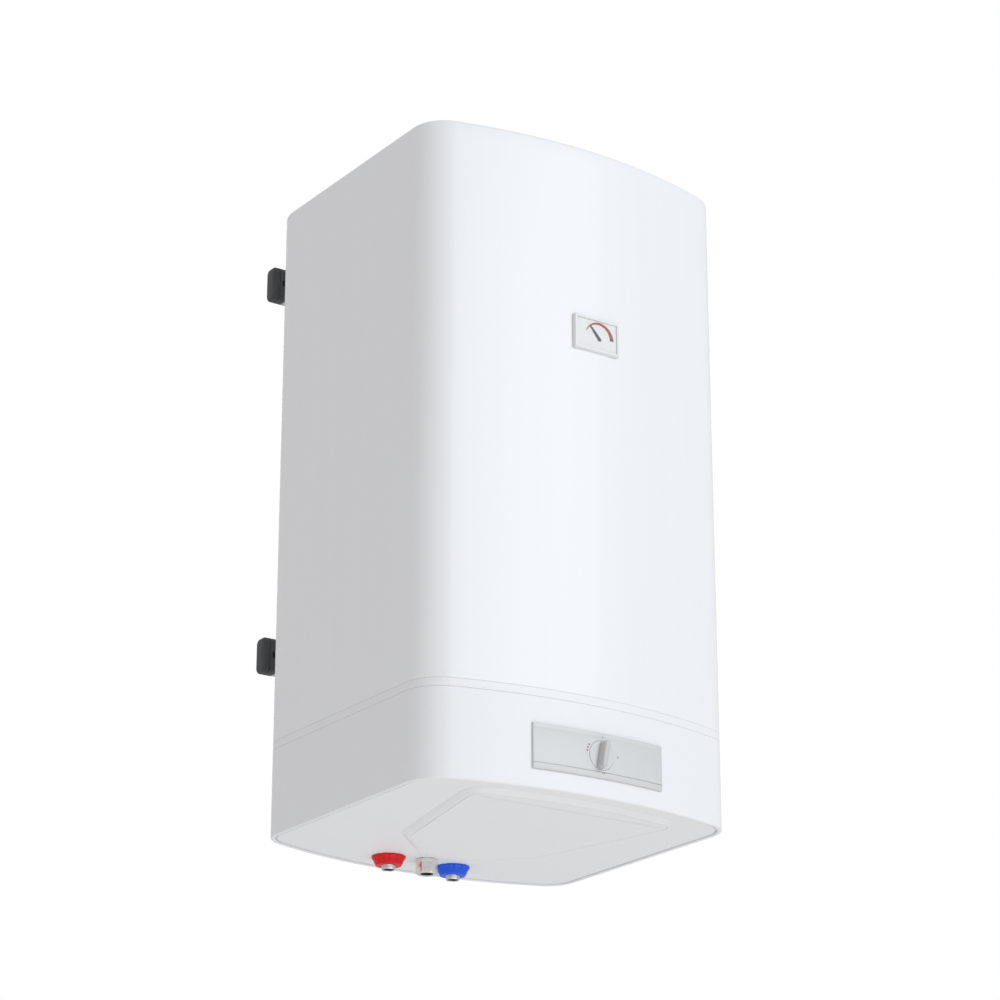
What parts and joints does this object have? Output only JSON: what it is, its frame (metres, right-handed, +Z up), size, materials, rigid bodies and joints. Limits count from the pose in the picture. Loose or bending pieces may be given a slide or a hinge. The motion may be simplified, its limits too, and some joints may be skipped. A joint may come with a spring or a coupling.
{
  "type": "tank water heater",
  "caption": "Wall-hung electric tank water heater: tall white casing with bowed front, dial thermometer, thermostat knob panel, service cover and pipe stubs below, two wall rails behind.",
  "frame": {"origin": "middle of the upper wall rail's back face, on the wall plane", "axes": "+Z up, +Y into the wall, +X to the right as seen from the front; the front faces -Y"},
  "size_m": [0.52, 0.5557, 0.9955],
  "materials": {
    "painted_steel": "white powder coat, satin",
    "white_plastic": "white moulded plastic, satin",
    "silver_plastic": "silver painted plastic",
    "dark_plastic": "dark grey moulded plastic",
    "dial_white": "printed dial, pale grey",
    "needle_black": "black painted needle",
    "clear_plastic": "clear moulded window",
    "red_plastic": "red moulded plastic",
    "blue_plastic": "blue moulded plastic",
    "chrome": "bright plated steel pipe",
    "nickel": "nickel plated brass",
    "galvanised_steel": "galvanised sheet steel",
    "zinc_steel": "zinc plated steel",
    "stainless_steel": "stainless steel",
    "blue_enamel": "vitreous enamel",
    "insulation_foam": "rigid polyurethane foam",
    "rubber": "black rubber",
    "magnesium": "cast magnesium",
    "copper": "drawn copper",
    "wire_brown": "brown insulated wire",
    "wire_blue": "blue insulated wire",
    "wire_green": "green and yellow insulated wire"
  },
  "bodies": {
    "heater": {"upper_jacket": "painted_steel", "top_cover": "painted_steel", "joint_band": "white_plastic", "lower_skirt": "white_plastic", "bottom_plate": "white_plastic", "service_panel": "white_plastic", "terminal_block": "white_plastic", "gauge_bezel": "silver_plastic", "control_fascia": "silver_plastic", "upper_cap_left": "dark_plastic", "upper_cap_right": "dark_plastic", "lower_cap_left": "dark_plastic", "lower_cap_right": "dark_plastic", "gauge_housing": "dark_plastic", "thermostat_body": "dark_plastic", "safety_cutout": "dark_plastic", "gauge_dial": "dial_white", "gauge_lens": "clear_plastic", "hot_rosette": "red_plastic", "cold_rosette": "blue_plastic", "hot_outlet_pipe": "chrome", "cold_inlet_pipe": "chrome", "circulation_socket": "nickel", "upper_rail": "galvanised_steel", "lower_rail": "galvanised_steel", "electrics_bracket": "galvanised_steel", "flange_bolt_1": "zinc_steel", "flange_bolt_2": "zinc_steel", "flange_bolt_3": "zinc_steel", "flange_bolt_4": "zinc_steel", "flange_bolt_5": "zinc_steel", "hanger_stud_1": "zinc_steel", "hanger_stud_2": "zinc_steel", "hanger_stud_3": "zinc_steel", "hanger_stud_4": "zinc_steel", "hanger_nut_1": "zinc_steel", "hanger_nut_2": "zinc_steel", "hanger_nut_3": "zinc_steel", "hanger_nut_4": "zinc_steel", "flange_plate": "zinc_steel", "heating_element_left": "stainless_steel", "heating_element_right": "stainless_steel", "sensor_pocket": "stainless_steel", "water_tank": "blue_enamel", "foam_insulation": "insulation_foam", "flange_gasket": "rubber", "cable_grommet": "rubber", "anode_rod": "magnesium", "thermostat_probe": "copper", "cutout_probe": "copper", "gauge_probe": "copper", "live_wire": "wire_brown", "switched_wire": "wire_brown", "neutral_wire": "wire_blue", "earth_wire": "wire_green"},
    "knob": {"knob_disc": "silver_plastic", "knob_grip": "silver_plastic", "thermostat_shaft": "stainless_steel"},
    "needle": {"gauge_needle": "needle_black"},
    "button": {"reset_button": "red_plastic"}
  },
  "joints": [
    {"name": "knob_turn", "type": "hinge", "parent": "heater", "child": "knob", "pos_m": [0, -0.5437, -0.8395], "axis": [0, -1, 0], "range_deg": [-169, 101]},
    {"name": "needle_sweep", "type": "hinge", "parent": "heater", "child": "needle", "pos_m": [0.005, -0.5418, -0.224], "axis": [0, -1, 0], "range_deg": [-129, 27]},
    {"name": "reset_press", "type": "slide", "parent": "heater", "child": "button", "axis": [0, 0, 1], "range_m": [0, 0.0025], "stiffness_N_per_m": 600, "springref_m": -0.002}
  ]
}
